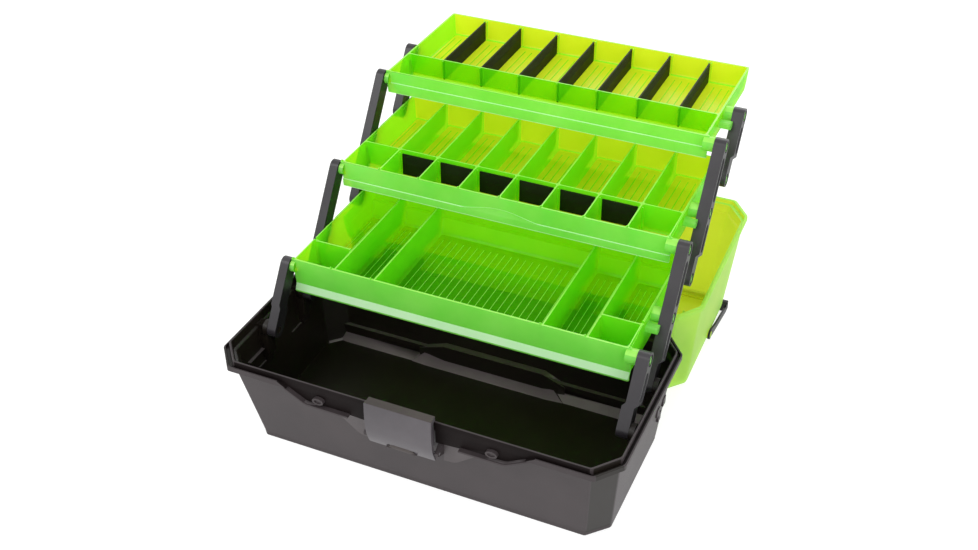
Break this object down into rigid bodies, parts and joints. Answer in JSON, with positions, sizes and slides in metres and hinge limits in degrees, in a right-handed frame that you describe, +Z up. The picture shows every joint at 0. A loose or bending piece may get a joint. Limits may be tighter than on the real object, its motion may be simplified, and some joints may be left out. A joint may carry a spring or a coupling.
{
  "type": "fishing tackle box",
  "caption": "Cantilever fishing tackle box: open hinged lid, stepped compartment trays raised on parallel side arms, front latch and bail handle.",
  "frame": {"origin": "on the floor under the middle of the base's rim, on the base's flat underside", "axes": "+X along the length, left to right seen from the latch; -Y the latch side, +Y towards the open lid; +Z up"},
  "size_m": [0.438, 0.5304, 0.2877],
  "materials": {
    "grey_plastic": "satin",
    "black_plastic": "satin",
    "green_plastic": "translucent",
    "lime_plastic": "translucent",
    "steel": "brushed"
  },
  "bodies": {
    "base": {"base_shell": "grey_plastic", "latch_pin": "steel", "hinge_pin_left": "steel", "hinge_pin_right": "steel"},
    "lid": {"lid_shell": "lime_plastic"},
    "handle": {"carry_handle": "black_plastic"},
    "latch": {"latch": "grey_plastic"},
    "tray_lower": {"lower_tray": "green_plastic"},
    "tray_middle": {"middle_tray": "green_plastic", "middle_divider_1": "black_plastic", "middle_divider_2": "black_plastic", "middle_divider_3": "black_plastic", "middle_divider_4": "black_plastic", "middle_divider_5": "black_plastic", "middle_divider_6": "black_plastic"},
    "tray_upper": {"upper_tray": "green_plastic", "upper_divider_1": "black_plastic", "upper_divider_2": "black_plastic", "upper_divider_3": "black_plastic", "upper_divider_4": "black_plastic", "upper_divider_5": "black_plastic", "upper_divider_6": "black_plastic", "upper_divider_7": "black_plastic"},
    "front_short_arms": {"front_short_arm_left": "grey_plastic", "front_short_arm_right": "grey_plastic"},
    "front_long_arms": {"front_long_arm_left": "grey_plastic", "front_long_arm_right": "grey_plastic"},
    "rear_long_arms": {"rear_long_arm_left": "grey_plastic", "rear_long_arm_right": "grey_plastic"},
    "rear_short_arms": {"rear_short_arm_left": "grey_plastic", "rear_short_arm_right": "grey_plastic"}
  },
  "joints": [
    {"name": "lid_hinge", "type": "hinge", "parent": "base", "child": "lid", "pos_m": [0, 0.127, 0.116], "axis": [1, 0, 0], "range_deg": [0, 30]},
    {"name": "handle_hinge", "type": "hinge", "parent": "lid", "child": "handle", "pos_m": [0, 0.2559, 0.01726], "axis": [-1, 0, 0], "range_deg": [0, 95]},
    {"name": "latch_hinge", "type": "hinge", "parent": "base", "child": "latch", "pos_m": [0, -0.116, 0.082], "axis": [1, 0, 0], "range_deg": [0, 90]},
    {"name": "trays_fold", "type": "hinge", "parent": "base", "child": "front_short_arms", "pos_m": [0, -0.0337, 0.1035], "axis": [1, 0, 0], "range_deg": [0, 95.2]},
    {"name": "lower_tray_level", "type": "hinge", "parent": "front_short_arms", "child": "tray_lower", "pos_m": [0, 0.00577, 0.16179], "axis": [-1, 0, 0], "range_deg": [0, 95.2]},
    {"name": "front_long_arms_turn", "type": "hinge", "parent": "base", "child": "front_long_arms", "pos_m": [0, 0.0399, 0.1035], "axis": [1, 0, 0], "range_deg": [0, 95.2]},
    {"name": "middle_tray_level", "type": "hinge", "parent": "front_long_arms", "child": "tray_middle", "pos_m": [0, 0.11884, 0.22009], "axis": [-1, 0, 0], "range_deg": [0, 95.2]},
    {"name": "rear_long_arms_turn", "type": "hinge", "parent": "tray_lower", "child": "rear_long_arms", "pos_m": [0, 0.15297, 0.16179], "axis": [1, 0, 0], "range_deg": [0, 95.2]},
    {"name": "upper_tray_level", "type": "hinge", "parent": "rear_long_arms", "child": "tray_upper", "pos_m": [0, 0.23191, 0.27839], "axis": [-1, 0, 0], "range_deg": [0, 95.2]},
    {"name": "rear_short_arms_turn", "type": "hinge", "parent": "tray_middle", "child": "rear_short_arms", "pos_m": [0, 0.26604, 0.22009], "axis": [1, 0, 0], "range_deg": [0, 95.2]}
  ],
  "couplings": [
    {"joint": "lower_tray_level", "follows": "trays_fold", "ratio": 1},
    {"joint": "front_long_arms_turn", "follows": "trays_fold", "ratio": 1},
    {"joint": "middle_tray_level", "follows": "trays_fold", "ratio": 1},
    {"joint": "rear_long_arms_turn", "follows": "trays_fold", "ratio": 1},
    {"joint": "upper_tray_level", "follows": "trays_fold", "ratio": 1},
    {"joint": "rear_short_arms_turn", "follows": "trays_fold", "ratio": 1}
  ]
}
